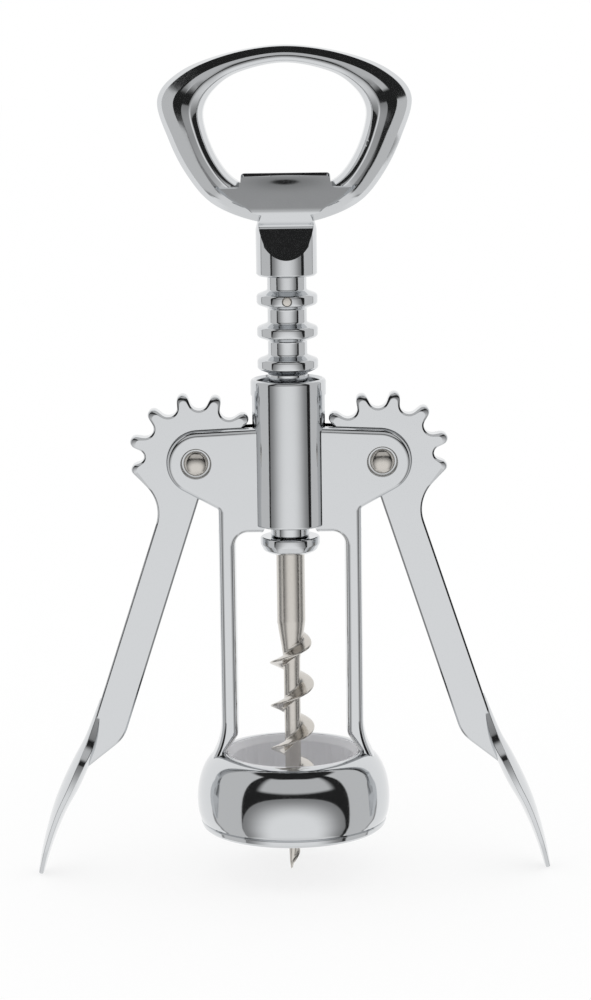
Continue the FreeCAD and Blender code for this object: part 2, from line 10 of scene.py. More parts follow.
import bmesh
import bpy
import numpy as np
from bpy.props import FloatProperty, IntProperty, PointerProperty, StringProperty
from mathutils import Euler, Matrix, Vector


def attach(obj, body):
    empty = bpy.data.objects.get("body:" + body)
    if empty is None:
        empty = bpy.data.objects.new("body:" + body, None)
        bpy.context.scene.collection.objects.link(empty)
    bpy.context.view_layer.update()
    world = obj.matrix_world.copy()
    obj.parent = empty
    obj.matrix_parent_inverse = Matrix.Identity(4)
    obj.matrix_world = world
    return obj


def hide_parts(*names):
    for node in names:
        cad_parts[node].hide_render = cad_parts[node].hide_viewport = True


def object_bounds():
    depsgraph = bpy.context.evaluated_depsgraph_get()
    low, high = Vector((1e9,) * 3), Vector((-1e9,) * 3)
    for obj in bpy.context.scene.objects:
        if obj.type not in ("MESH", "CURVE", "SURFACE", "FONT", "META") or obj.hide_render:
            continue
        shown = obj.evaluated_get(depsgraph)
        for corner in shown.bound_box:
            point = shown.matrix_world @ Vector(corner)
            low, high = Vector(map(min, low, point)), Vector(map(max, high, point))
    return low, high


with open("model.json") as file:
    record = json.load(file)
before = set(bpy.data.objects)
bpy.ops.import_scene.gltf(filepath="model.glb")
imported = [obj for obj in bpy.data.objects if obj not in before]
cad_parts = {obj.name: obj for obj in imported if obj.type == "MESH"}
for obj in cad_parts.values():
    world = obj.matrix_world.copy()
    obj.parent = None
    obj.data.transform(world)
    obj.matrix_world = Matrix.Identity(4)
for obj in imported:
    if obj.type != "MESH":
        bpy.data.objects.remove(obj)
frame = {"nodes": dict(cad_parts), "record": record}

bl_info = {
    "name": "Wing Corkscrew",
    "version": (1, 0, 0),
    "blender": (4, 5, 0),
    "location": "3D View > Sidebar > Corkscrew",
    "description": "Builds the looks of a chrome wing corkscrew",
    "category": "Object",
}

CAD_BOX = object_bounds()
MM = 0.001


# --- values that a user would change ---
class CorkscrewFinishes(bpy.types.PropertyGroup):
    """Colours and textures of the corkscrew's surfaces."""

    chrome: StringProperty(
        name="Chrome", description="Colour of the plated castings, sRGB hex", default="#D1D3D5")
    rack: StringProperty(
        name="Rack", description="Colour of the plated turned parts, sRGB hex", default="#D3D5D7")
    nickel: StringProperty(
        name="Nickel", description="Colour of the nickelled steel, sRGB hex", default="#CECAC4")
    bush: StringProperty(
        name="Bush", description="Colour of the plastic bush, sRGB hex", default="#DCDCDF")
    wave: FloatProperty(
        name="Wave length", description="Spacing of the polish's slow waves, in millimetres",
        default=6.0, min=0.5)


class CorkscrewShapes(bpy.types.PropertyGroup):
    """Fine sizes of the visible pieces, in millimetres."""

    frame_round: FloatProperty(
        name="Frame edge", description="Radius of the polished edges of ears and legs",
        default=1.3, min=0.05, max=1.4)
    lever_bevel: FloatProperty(
        name="Lever bevel", description="Width of the bevel round the levers",
        default=0.4, min=0.1, max=0.6)
    paddle_round: FloatProperty(
        name="Paddle edge", description="Radius of the edges of the paddles",
        default=0.18, min=0.02)
    bead_round: FloatProperty(
        name="Bead edge", description="Radius of the edges of the bead round the bell's rim",
        default=0.4)
    ring_count: IntProperty(name="Rack rings", description="Rings on the rack", default=7, min=1)
    ring_pitch: FloatProperty(
        name="Ring pitch", description="From one ring of the rack to the next", default=6.95)
    flight_pitch: FloatProperty(
        name="Worm pitch", description="Rise of the worm's flight in one turn", default=9.6)


class CorkscrewStudio(bpy.types.PropertyGroup):
    """The camera's place, aim and lens."""

    distance: FloatProperty(
        name="Camera distance", description="From the spindle axis to the camera",
        default=0.681, unit="LENGTH")
    height: FloatProperty(
        name="Camera height", description="Above the bell's rim", default=0.1946, unit="LENGTH")
    aside: FloatProperty(
        name="Camera offset", description="To the right of the spindle axis",
        default=0.00125, unit="LENGTH")
    pitch: FloatProperty(
        name="Pitch", description="How far the camera looks down",
        default=math.radians(10.2), subtype="ANGLE")
    roll: FloatProperty(
        name="Roll", description="Clockwise turn of the camera",
        default=math.radians(0.75), subtype="ANGLE")
    lens: FloatProperty(
        name="Lens", description="Focal length on a 36 mm sensor, in millimetres", default=115.6)


# --- nodes and finishes ---
def linear(hex_colour):
    """An sRGB hex colour as linear red, green, blue and alpha."""
    parts = [int(hex_colour[i:i + 2], 16) / 255 for i in (1, 3, 5)]
    return [c / 12.92 if c <= 0.04045 else ((c + 0.055) / 1.055) ** 2.4 for c in parts] + [1.0]


def add_node(tree, kind, settings=None, **sockets):
    """Adds a node. settings are its own properties. Each socket takes a value, a link, or a node,
    of which it takes the first output. A socket is given by its name, with _ for a space, or by
    its number, as _0."""
    node = tree.nodes.new(kind)
    for key, value in (settings or {}).items():
        setattr(node, key, value)
    for key, value in sockets.items():
        socket = node.inputs[int(key[1:]) if key[1:].isdigit() else key.replace("_", " ")]
        if isinstance(value, bpy.types.Node):
            value = value.outputs[0]
        if isinstance(value, bpy.types.NodeSocket):
            tree.links.new(value, socket)
        else:
            socket.default_value = value
    return node


def new_material(name):
    """A material without nodes yet, and its node tree."""
    material = bpy.data.materials.new(name)
    material.use_nodes = True
    material.node_tree.nodes.clear()
    return material, material.node_tree


NOISE_SPAN = (0.3, 0.7)      # most of a noise lies between these
WIPES = 9                    # wipe marks for each slow wave
TURNING_MARKS = 0.5          # spacing of the marks on the nickelled steel
MOULD_GRAIN = 0.4            # spacing of the grain on the plastic, coarse enough to show
CHROME_ROUGH = (0.05, 0.09)  # least and most roughness
NICKEL_ROUGH = (0.14, 0.24)


def chrome_material(name, colour, wave):
    """Bright chrome on a polished zinc die casting. Buffing by hand leaves slow waves that make
    the reflections waver, and wipe marks, drawn coarse enough to show, that break up the gloss a
    little."""
    material, tree = new_material(name)
    place = add_node(tree, "ShaderNodeTexCoord").outputs["Object"]
    slow = add_node(tree, "ShaderNodeTexNoise", Vector=place, Scale=1 / (wave * MM), Detail=1.0)
    fine = add_node(tree, "ShaderNodeTexNoise", Vector=place, Scale=WIPES / (wave * MM),
                    Detail=3.0)
    gloss = add_node(tree, "ShaderNodeMapRange", Value=fine, _1=NOISE_SPAN[0], _2=NOISE_SPAN[1],
                     _3=CHROME_ROUGH[0], _4=CHROME_ROUGH[1])
    bend = add_node(tree, "ShaderNodeBump", Strength=0.35, Distance=0.04 * MM, Height=slow)
    shader = add_node(tree, "ShaderNodeBsdfPrincipled", Base_Color=linear(colour), Metallic=1.0,
                      Roughness=gloss, Normal=bend)
    add_node(tree, "ShaderNodeOutputMaterial", Surface=shader)
    return material


def nickel_material(name, colour):
    """Nickel-plated steel: warm, satin, with the turning and rolling marks still in it."""
    material, tree = new_material(name)
    place = add_node(tree, "ShaderNodeTexCoord").outputs["Object"]
    grain = add_node(tree, "ShaderNodeTexNoise", Vector=place, Scale=1 / (TURNING_MARKS * MM),
                     Detail=4.0)
    gloss = add_node(tree, "ShaderNodeMapRange", Value=grain, _1=NOISE_SPAN[0], _2=NOISE_SPAN[1],
                     _3=NICKEL_ROUGH[0], _4=NICKEL_ROUGH[1])
    bend = add_node(tree, "ShaderNodeBump", Strength=0.3, Distance=0.03 * MM, Height=grain)
    shader = add_node(tree, "ShaderNodeBsdfPrincipled", Base_Color=linear(colour), Metallic=1.0,
                      Roughness=gloss, Normal=bend)
    add_node(tree, "ShaderNodeOutputMaterial", Surface=shader)
    return material


def bush_material(name, colour):
    """Injection-moulded polyethylene: grey, half matt, with a fine grain from the mould."""
    material, tree = new_material(name)
    place = add_node(tree, "ShaderNodeTexCoord").outputs["Object"]
    grain = add_node(tree, "ShaderNodeTexNoise", Vector=place, Scale=1 / (MOULD_GRAIN * MM),
                     Detail=3.0)
    bend = add_node(tree, "ShaderNodeBump", Strength=0.2, Distance=0.03 * MM, Height=grain)
    shader = add_node(tree, "ShaderNodeBsdfPrincipled", Base_Color=linear(colour), Roughness=0.45,
                      IOR=1.5, Normal=bend)
    add_node(tree, "ShaderNodeOutputMaterial", Surface=shader)
    return material


def finish(slot):
    """The material of one of the record's slots, made when it is first asked for."""
    look = bpy.context.scene.corkscrew_finishes
    name, make, *values = {
        "plated_casting": ("bright chrome on zinc", chrome_material, look.chrome, look.wave),
        "plated_rack": ("bright chrome, turned", chrome_material, look.rack, look.wave / 2),
        "nickel_steel": ("nickel-plated steel", nickel_material, look.nickel),
        "bush_plastic": ("moulded polyethylene", bush_material, look.bush),
    }[slot]
    return bpy.data.materials.get(name) or make(name, *values)


# --- surfaces ---
SHARP = math.radians(33)     # two faces that meet at more than this keep a crisp edge
JOINED = 0.0004              # points nearer than this become one
LEAST_ROUND = 0.00002        # radius of a corner that stays sharp
CORNER_STEPS = 6             # in the arc of a corner


def rounded(points, radii, steps=CORNER_STEPS):
    """Rounds the corners of closed outlines, as arcs that touch both sides. An arc's ends lie
    radius / tan(half the corner's angle) from the corner, and its centre radius / sin(that half)
    from it on the bisector. Between its ends the arc turns evenly."""
    radii = np.maximum(radii, LEAST_ROUND)
    before = np.roll(points, 1, -1) - points
    after = np.roll(points, -1, -1) - points
    before, after = before / abs(before), after / abs(after)
    half = abs(np.angle(after / before)) / 2
    inward = (before + after) / abs(before + after)
    centre = points + inward * radii / np.sin(half)
    start = points + before * radii / np.tan(half) - centre
    end = points + after * radii / np.tan(half) - centre
    turn = (end / start)[..., None] ** np.linspace(0, 1, steps + 1)
    arcs = centre[..., None] + start[..., None] * turn
    return arcs.reshape(arcs.shape[:-2] + (-1,))


def soft_outline(*rows, steps=CORNER_STEPS):
    """A closed outline with rounded corners, given as (across, up, radius) rows."""
    across, up, radii = np.array(rows, float).T
    return rounded(across + 1j * up, radii, steps)


def soft_line(*rows):
    """An open line with rounded corners. Its first and last rows only give it a direction."""
    return soft_outline(*rows)[CORNER_STEPS + 1:-CORNER_STEPS - 1]


def belt(circles):
    """A closed line round (centre, radius, points) circles, straight from each one to the next. A
    negative radius is a hollow and zero a corner. The straight run leaves a circle on the side
    that lies the run's own heading + asin(difference of radii / distance) - 90 degrees."""
    centre, radius, count = (np.array(column) for column in zip(*circles))
    span = np.roll(centre, -1) - centre
    lean = np.arcsin((radius - np.roll(radius, -1)) / abs(span))
    side = span / abs(span) * np.exp(1j * (lean - np.pi / 2))
    full = 2 * np.pi
    arcs = []
    for c, r, n, arrive, leave in zip(centre, radius, count, np.roll(side, 1), side):
        sweep = np.angle(leave / arrive) % full - (full if r < 0 else 0)
        arcs.append(c + r * arrive * np.exp(1j * sweep * np.linspace(0, 1, n)))
    return np.concatenate(arcs)


def plate_rim(half, bevel, deep, edge):
    """Across a plate's rim from its front face to its back: (inset, depth) as a complex number.
    A bevel slopes to each face, as far in and as deep as given, and its corners are round."""
    front = [(half, -half, 0), (bevel, -half, edge), (0, deep - half, edge)]
    back = [(inset, -depth, radius) for inset, depth, radius in front[::-1]]
    return soft_line(*front, *back)


def layered(lines, depths):
    """Points for lines of the front plane, each at its depth."""
    return np.stack(np.broadcast_arrays(lines.real, depths, lines.imag), -1)


def plate(outline, rim):
    """A row of points for each (inset, depth) of the rim: the outline at that inset and depth."""
    rows = np.array([outline(inset, depth) for inset, depth in zip(rim.real, rim.imag)])
    return layered(rows, rim.imag[:, None])


def lathe(profile, count=128):
    """A profile turned about the spindle: radius·cos a, radius·sin a, height."""
    a = np.linspace(0, 2 * np.pi, count, endpoint=False)
    spoke = np.exp(1j * a) * profile.real[:, None]
    return np.stack([spoke.real, spoke.imag, profile.imag[:, None] + 0 * a], -1)


def drum(radius, low, high, soft=(0, 0), count=128):
    """A plain turned drum between two heights, with soft edges below and above."""
    return lathe(soft_outline((0, low, 0), (radius, low, soft[0]), (radius, high, soft[1]),
                              (0, high, 0)), count)


def crosswise(turned, x, z):
    """A turned shape laid with its axis front to back, through x and z."""
    return turned[..., [0, 2, 1]] + (x, 0, z)


def smoothed(rows, steps, loop=False):
    """A Catmull-Rom curve through the rows: between two rows it is a cubic, whose slope at each
    row is half the step from the row before to the row after."""
    rows = np.array(rows, float)
    if loop:
        ends = rows[-1:], rows[:2]
    else:
        ends = 2 * rows[:1] - rows[1:2], 2 * rows[-1:] - rows[-2:-1]
    run = np.concatenate([ends[0], rows, ends[1]])[:, None]
    p0, p1, p2, p3 = run[:-3], run[1:-2], run[2:-1], run[3:]
    t = np.linspace(0, 1, steps, endpoint=False)[None, :, None]
    bend = 2 * p0 - 5 * p1 + 4 * p2 - p3
    curve = p1 + t / 2 * (p2 - p0 + t * (bend + t * (3 * (p1 - p2) + p3 - p0)))
    curve = curve.reshape(-1, rows.shape[1])
    return curve if loop else np.concatenate([curve, rows[-1:]])


def mirrored(points):
    """The same shape on the other side of the spindle."""
    return points * (-1, 1, 1)


def new_piece(name, points, loop=False):
    """A closed mesh from a grid of points. Each point joins the next one in its row, which closes
    on itself, and the same one in the next row. The last row joins the first one in a loop, and
    otherwise the end rows are filled, unless they are single points."""
    count, width = points.shape[:2]
    index = np.arange(count * width).reshape(count, width)
    if loop:
        index = np.concatenate([index, index[:1]])
    right = np.roll(index, -1, 1)
    faces = np.stack([index[:-1], right[:-1], right[1:], index[1:]], -1).reshape(-1, 4).tolist()
    if not loop:
        faces += [index[0, ::-1].tolist(), index[-1].tolist()]
    mesh = bpy.data.meshes.new(name)
    mesh.from_pydata(points.reshape(-1, 3) * MM, [], faces)
    tidy(mesh)
    piece = bpy.data.objects.new(name, mesh)
    bpy.context.scene.collection.objects.link(piece)
    return piece


def tidy(mesh):
    """Merges points that coincide, drops what that leaves flat, and turns the faces outwards."""
    work = bmesh.new()
    work.from_mesh(mesh)
    bmesh.ops.remove_doubles(work, verts=work.verts, dist=JOINED * MM)
    bmesh.ops.dissolve_degenerate(work, edges=work.edges, dist=JOINED * MM / 4)
    bmesh.ops.recalc_face_normals(work, faces=work.faces)
    work.to_mesh(mesh)
    work.free()


def combine(piece, *steps):
    """Exact booleans with other pieces, in order, as (operation, piece). They are used up."""
    for operation, other in steps:
        modifier = piece.modifiers.new(operation, "BOOLEAN")
        modifier.operation = operation
        modifier.solver = "EXACT"
        modifier.object = other
    shape = piece.evaluated_get(bpy.context.evaluated_depsgraph_get())
    mesh = bpy.data.meshes.new_from_object(shape)
    piece.modifiers.clear()
    piece.data = mesh
    for _, other in steps:
        bpy.data.objects.remove(other)
    tidy(mesh)
    return piece


def hand_over(piece, body, slot, *nodes):
    """Smooth shading with crisp edges where faces meet steeply, the slot's finish, and the body
    that the piece rides on in the place of its construction nodes."""
    piece.data.shade_smooth()
    piece.data.set_sharp_from_angle(angle=SHARP)
    modifier = piece.modifiers.new("flat faces stay flat", "WEIGHTED_NORMAL")
    modifier.keep_sharp = True
    piece.data.materials.clear()
    piece.data.materials.append(finish(slot))
    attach(piece, body)
    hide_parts(*nodes)


# --- frame ---
PIVOT = 19.95 + 80.9j        # of the right lever
PLATE_HALF, PLATE_DRAFT = 4.2, 0.25
PLATE_BAND = 0.1             # half of the flat band in the middle of the rim
FOOT_INSET = 1.2             # at most, because the foot is narrow
SLOT_HALF = 2.3
SLOT_NEAR, SLOT_FAR, SLOT_LOW, SLOT_HIGH = 4.0, 30.0, 65.6, 95.2
SWEEP_R, SWEEP_NEAR = 15.3, 11.2     # about the pivot, and how near to the spindle it ends
RECESS_BRIM_R, RECESS_R, RECESS_FLOOR_R, RECESS_FLOOR = 4.0, 3.2, 3.1, 3.55
BARREL_R, BARREL_LOW, BARREL_TOP = 8.1, 66.9, 98.6
BORE_R, BORE_BRIM_R = 6.85, 7.5
BELL_TOP = 16.7
BELL_WIDE = (21.0, 6.4)      # radius and height of its widest ring
BELL_SKIRT = ((20.95, 5.0), (20.8, 3.7), (20.5, 2.6), (20.25, 1.95))
BELL_GROOVE = 19.9 + 1.75j   # between the skirt and the bead
BELL_MOUTH_R = 15.3
BELL_BORE_R, BELL_THROAT_R, BELL_STEP = 17.6, 14.7, 10.4     # the bore is narrower above the step
WELL_R, WELL_LOW = 14.9, 9   # the legs' feet end here, inside the bell's wall


def flank_outline(inset, _):
    """One side of the frame: web, arch, leg, the foot that runs into the bell, and the ear."""
    foot = min(inset, FOOT_INSET)
    return belt([
        (5.0 + (88.65 - inset) * 1j, 0, 1),  # web, inside the barrel
        (5.0 + (65.5 + inset) * 1j, 0, 1),
        (9.0 + 62.8j, -2.7 - inset, 18),  # arch under the barrel
        (13.9 + 21.6j, 2.2 - foot, 6),  # inner edge of the leg, down to the foot
        (12.8 + 16.6j, -1.5 - foot, 6),
        (14.3 + foot + 12.0j, 0, 1),  # foot
        (19.4 - foot + 12.0j, 0, 1),
        (31.4 + 24.0j, -15.9 - foot, 16),  # outer edge of the leg, over the bell
        (16.1 + 70.3j, -0.6 - inset, 10),  # under the ear
        (19.4 + 80.9j, 7.1 - inset, 48),  # ear
    ])


def slot_outline(*_):
    """The gap between the ears: a round sweep about the pivot, and straight edges outside it."""
    a = np.linspace(np.pi, np.pi + math.acos((PIVOT.real - SWEEP_NEAR) / SWEEP_R), 40)
    low, high = SLOT_LOW * 1j, SLOT_HIGH * 1j
    return np.concatenate([[SLOT_NEAR + PIVOT.imag * 1j], PIVOT + SWEEP_R * np.exp(1j * a),
                           [SWEEP_NEAR + low, SLOT_FAR + low, SLOT_FAR + high, SLOT_NEAR + high]])


def bell_profile(bead_round):
    """Outside a quarter ellipse down to the widest ring, a tucked skirt, a fine groove and a
    bead; inside a stepped bore. All is one closed line of radius and height."""
    wide_r, wide_z = BELL_WIDE
    t = np.linspace(np.pi / 2, 0, 28)
    dome = (BELL_MOUTH_R + (wide_r - BELL_MOUTH_R) * np.cos(t)
            + 1j * (wide_z + (BELL_TOP - wide_z) * np.sin(t)))
    skirt = smoothed([BELL_WIDE, *BELL_SKIRT], 4)[1:]
    bead = soft_line((BELL_GROOVE.real, BELL_GROOVE.imag, 0), (20.25, 1.5, 0.12),
                     (20.0, 0.6, bead_round), (19.4, 0.0, bead_round), (18.0, 0.0, 0))
    inside = soft_line(
        (bead[-1].real, bead[-1].imag, 0), (BELL_BORE_R, 0.0, 0.3), (BELL_BORE_R, BELL_STEP, 0),
        (BELL_THROAT_R, BELL_STEP, 0), (BELL_THROAT_R, 16.6, 0.12), (14.95, BELL_TOP, 0.1),
        (BELL_MOUTH_R, BELL_TOP, 0))
    return np.concatenate([dome, skirt[:, 0] + 1j * skirt[:, 1], [BELL_GROOVE], bead, inside])


def recess_profile():
    """What is cut for a rivet's head: a shallow round well with a soft brim and a soft floor."""
    face = -PLATE_HALF
    return soft_outline(
        (0, face - 2, 0), (RECESS_BRIM_R, face - 2, 0), (RECESS_BRIM_R, face - 0.02, 0),
        (RECESS_R, face, 0.25), (RECESS_FLOOR_R, -RECESS_FLOOR, 0.25), (0, -RECESS_FLOOR, 0))


def build_frame(shapes):
    """Barrel, ears, legs and bell in one casting."""
    rim = plate_rim(PLATE_HALF, PLATE_DRAFT, PLATE_HALF - PLATE_BAND, shapes.frame_round)
    flank = plate(flank_outline, rim)
    slot = plate(slot_outline, np.array([-SLOT_HALF * 1j, SLOT_HALF * 1j]))
    bell = lathe(bell_profile(shapes.bead_round), 192)
    bore = lathe(soft_outline((0, 60, 0), (BORE_R, 60, 0), (BORE_R, 98.1, 0.35),
                              (BORE_BRIM_R, 98.75, 0), (BORE_BRIM_R, 100, 0), (0, 100, 0)))
    casting = new_piece("cast_frame", drum(BARREL_R, BARREL_LOW, BARREL_TOP, (0.5, 0.7)))
    steps = [("UNION", new_piece("flank", side)) for side in (flank, mirrored(flank))]
    steps += [("DIFFERENCE", new_piece("slot", side)) for side in (slot, mirrored(slot))]
    steps += [("DIFFERENCE", new_piece("well", drum(WELL_R, WELL_LOW, BELL_TOP))),
              ("UNION", new_piece("bell", bell, True)), ("DIFFERENCE", new_piece("bore", bore))]
    recess = lathe(recess_profile(), 96)
    for side in (recess, recess * (1, 1, -1)):
        for x in (-PIVOT.real, PIVOT.real):
            steps.append(("DIFFERENCE", new_piece("recess", crosswise(side, x, PIVOT.imag))))
    combine(casting, *steps)
    hand_over(casting, "frame", "plated_casting", "frame_casting")


# --- levers ---
LEVER_HALF = 2.1
LEVER_DEEP, LEVER_EDGE = 0.25, 0.1   # how deep the bevel goes, and the radius of its corners
FIRST_TOOTH, TOOTH_STEP, STUB_TOOTH = -17.5, 29.75, 187.0    # degrees from +X
TOOTH_R, TOOTH_END = 13.6, 1.25      # out to the middle of a tooth's round end, and its radius
STUB_SHORT = 0.8
ROOT_R = 11.2                # from the pivot to the floor of the hollows
HOLLOW_R = 2.0
HOLLOW_LOSS = 0.135          # of a hollow's radius, for each degree that its gap is narrower
TIP_SOFT = 1.0               # radius of the teeth's ends, front to back
WAIST, WAIST_R = -16.9 - 10.9j, 8.4  # from the pivot
ARM_LEAN = 18.1              # degrees from vertical
ARM_MIDDLE, ARM_HALF = -39.3 + 25.0j, 3.95
ELBOW_Z, ELBOW_R = 22.5, 8.0
ARMPIT_AWAY, ARMPIT_R = 7.7, 1.5     # from the pivot to its centre, and its radius
WEB_TOP, WEB_END, WEB_SLOPE = -43.2 + 24.0j, -46.0 + 12.9j, 39.0
LEVER_HOLE_R = 1.75
# the paddle from inside the arm to its tip: centre x and z, lean, half thickness in the middle
# and at its edges, half width front to back
PADDLE = (
    (41.4, 28.5, 18.0, 0.5, 0.05, 1.3),
    (43.8, 20.0, 22.0, 1.5, 0.8, 3.4),
    (46.1, 15.0, 27.0, 1.85, 0.7, 5.6),
    (48.5, 10.0, 27.0, 1.95, 0.55, 6.7),
    (50.95, 5.0, 23.5, 1.6, 0.5, 6.8),
    (52.85, 0.0, 19.5, 1.25, 0.45, 6.1),
    (54.4, -5.0, 16.0, 0.95, 0.42, 4.6),
    (55.6, -9.9, 14.0, 0.65, 0.4, 1.9),
)
TIP_ROUND = 0.3


def heading(degrees):
    """A unit step at an angle from +X towards +Z."""
    return np.exp(1j * np.radians(degrees))


def lever_outline(inset, depth):
    """Teeth, waist, straight arm and the web behind the elbow, of the left lever. Teeth and the
    hollows between them are circles about the pivot, passed in turn. Towards each face the ends
    of the teeth curve back by r - sqrt(r² - past²), past being the depth beyond half - r."""
    pivot = -PIVOT.conjugate()
    teeth = np.append(FIRST_TOOTH + TOOTH_STEP * np.arange(7), STUB_TOOTH)
    past = max(0.0, abs(depth) - LEVER_HALF + TIP_SOFT)
    back = TIP_SOFT - math.sqrt(TIP_SOFT ** 2 - min(past, TIP_SOFT) ** 2)
    tips = pivot + (TOOTH_R - STUB_SHORT * (teeth == STUB_TOOTH) - back) * heading(teeth)
    gaps = np.diff(teeth)
    hollow_r = HOLLOW_R - HOLLOW_LOSS * (TOOTH_STEP - gaps)
    hollows = pivot + (ROOT_R + hollow_r) * heading(teeth[:-1] + gaps / 2)
    circles = [(tips[0], TOOTH_END - inset, 10)]
    for hollow, radius, tip in zip(hollows, hollow_r, tips[1:]):
        circles += [(hollow, -radius - inset, 11), (tip, TOOTH_END - inset, 10)]
    down, outward = heading(270 - ARM_LEAN), heading(180 - ARM_LEAN)
    inner_edge = ARM_MIDDLE - outward * ARM_HALF
    elbow = inner_edge + down * ((ELBOW_Z - inner_edge.imag) / down.imag) + outward * ELBOW_R
    beside = inner_edge - outward * ARMPIT_R - pivot
    along = (beside * down.conjugate()).real
    back_up = along - math.sqrt(along ** 2 - abs(beside) ** 2 + ARMPIT_AWAY ** 2)
    web_inset = inset / math.cos(math.radians(WEB_SLOPE))
    return belt(circles + [
        (pivot + WAIST, -WAIST_R - inset, 20),
        (WEB_TOP - outward * inset, 0, 1),
        (WEB_END.real + (WEB_END.imag + web_inset) * 1j, 0, 1),
        (elbow, ELBOW_R - inset, 12),
        (pivot + beside - down * back_up, -ARMPIT_R - inset, 12),
    ])


def paddle_grid(edge):
    """Sections square to the paddle's lean. Both faces are parabolas, thickness = edge + rise ·
    (1 - (across / half)²), and arcs from the face's slope to its side round them off."""
    rows = smoothed(PADDLE, 7)
    tip = rows[-1]
    t = np.linspace(0, np.pi / 2, 6)[1:, None]
    end = np.repeat(tip[None], len(t), 0)
    step = -heading(270 - tip[2]).conjugate() * TIP_ROUND * np.sin(t[:, 0])
    end[:, 0] += step.real
    end[:, 1] += step.imag
    end[:, 3:] -= TIP_ROUND * (1 - np.cos(t))
    x, z, lean, middle, brim, half = np.concatenate([rows, end]).T[..., None]
    edge = np.minimum(edge, 0.8 * brim)      # leaves a flat between the two edges of a side
    rise = middle - brim
    slope = np.arctan(2 * rise / half)
    flat = half - edge * (1 - np.sin(slope))
    face_y = flat * np.linspace(-1, 1, 19)
    face_t = brim + rise * (1 - (face_y / half) ** 2)
    turn = slope + (np.pi / 2 - slope) * np.linspace(0, 1, 6)[1:]
    arc_y = flat + edge * (np.sin(turn) - np.sin(slope))
    arc_t = face_t[:, -1:] + edge * (np.cos(turn) - np.cos(slope))
    top_y = np.concatenate([-arc_y[:, ::-1], face_y, arc_y], 1)
    top_t = np.concatenate([arc_t[:, ::-1], face_t, arc_t], 1)
    across = np.concatenate([top_y, top_y[:, ::-1]], 1)
    thick = np.concatenate([top_t, -top_t[:, ::-1]], 1)
    place = -x + 1j * z + heading(180 - lean) * thick
    return layered(place, across)


def build_levers(shapes):
    """Geared plate, straight arm and a leaf-shaped paddle turned across it, on both sides."""
    rim = plate_rim(LEVER_HALF, shapes.lever_bevel, LEVER_DEEP, LEVER_EDGE)
    depths = np.unique(np.append(rim.imag, np.linspace(-LEVER_HALF, LEVER_HALF, 19)[1:-1]))
    rim = np.interp(depths, rim.imag, rim.real) + 1j * depths
    left = new_piece("cast_lever_left", plate(lever_outline, rim))
    rod = crosswise(drum(LEVER_HOLE_R, -5, 5, count=64), -PIVOT.real, PIVOT.imag)
    combine(left, ("UNION", new_piece("paddle", paddle_grid(shapes.paddle_round))),
            ("DIFFERENCE", new_piece("rod", rod)))
    mesh = left.data.copy()
    mesh.transform(Matrix.Scale(-1, 4, (1, 0, 0)))
    mesh.flip_normals()
    right = bpy.data.objects.new("cast_lever_right", mesh)
    bpy.context.scene.collection.objects.link(right)
    hand_over(left, "lever_left", "plated_casting", "lever_left")
    hand_over(right, "lever_right", "plated_casting", "lever_right")


# --- turned parts ---
HEAD_R, HEAD_RISE, SHANK_R = 2.7, 1.45, 1.7


def build_rivets():
    """Plain shanks with a polished dome at each end, half an ellipse in section, sunk in the
    ears' wells."""
    t = np.linspace(0, np.pi / 2, 20)
    dome = HEAD_R * np.sin(t) - 1j * (RECESS_FLOOR + HEAD_RISE * np.cos(t))
    half = np.append(dome, [SHANK_R - RECESS_FLOOR * 1j])
    profile = np.concatenate([half, half.conjugate()[::-1]])
    for side, x in (("left", -PIVOT.real), ("right", PIVOT.real)):
        rivet = new_piece("rivet_" + side, crosswise(lathe(profile, 96), x, PIVOT.imag))
        hand_over(rivet, "frame", "nickel_steel", "pivot_rivet_" + side)


RACK_LOW, RACK_TOP, NECK_R = 64.4, 120.75, 4.2
SOCKET_R, SOCKET_FLOOR = 2.62, 107.0         # for the handle's spigot
SEAT_R, SEAT_TOP = 3.07, 84.0                # for the worm's shank
# the upper half of a ring, from the neck out: radius, height over its middle, corner radius
RACK_RING = ((NECK_R, 1.95, 0.5), (6.2, 1.15, 0.6), (6.5, 0.75, 0.6))
CROSS_Z = 115.7              # of the first ring and the pin through it
CROSS_HOLE_R, CROSS_BRIM_R = 1.02, 1.3
PIN_R, PIN_HALF = 1.0, 6.35


def build_rack(shapes):
    """A neck with evenly spaced rings, each with soft shoulders and roots, bored at both ends."""
    rows = [(0, SOCKET_FLOOR, 0), (SOCKET_R, SOCKET_FLOOR, 0), (SOCKET_R, RACK_TOP, 0),
            (NECK_R, RACK_TOP, 0.3)]
    for z in CROSS_Z - shapes.ring_pitch * np.arange(shapes.ring_count):
        rows += [(radius, z + rise, soft) for radius, rise, soft in RACK_RING]
        rows += [(radius, z - rise, soft) for radius, rise, soft in RACK_RING[::-1]]
    rows += [(NECK_R, RACK_LOW, 0.3), (SEAT_R, RACK_LOW, 0), (SEAT_R, SEAT_TOP, 0),
             (0, SEAT_TOP, 0)]
    rack = new_piece("turned_rack", lathe(soft_outline(*rows, steps=4)))
    hole = lathe(soft_outline(
        (0, -8, 0), (CROSS_BRIM_R, -8, 0), (CROSS_BRIM_R, -6.6, 0), (CROSS_HOLE_R, -6.3, 0.1),
        (CROSS_HOLE_R, 6.3, 0.1), (CROSS_BRIM_R, 6.6, 0), (CROSS_BRIM_R, 8, 0), (0, 8, 0)), 48)
    combine(rack, ("DIFFERENCE", new_piece("hole", crosswise(hole, 0, CROSS_Z))))
    hand_over(rack, "spindle", "plated_rack", "ring_rack")
    pin = crosswise(drum(PIN_R, -PIN_HALF, PIN_HALF, (0.3, 0.3), 48), 0, CROSS_Z)
    hand_over(new_piece("cross_pin", pin), "spindle", "nickel_steel", "rack_pin")


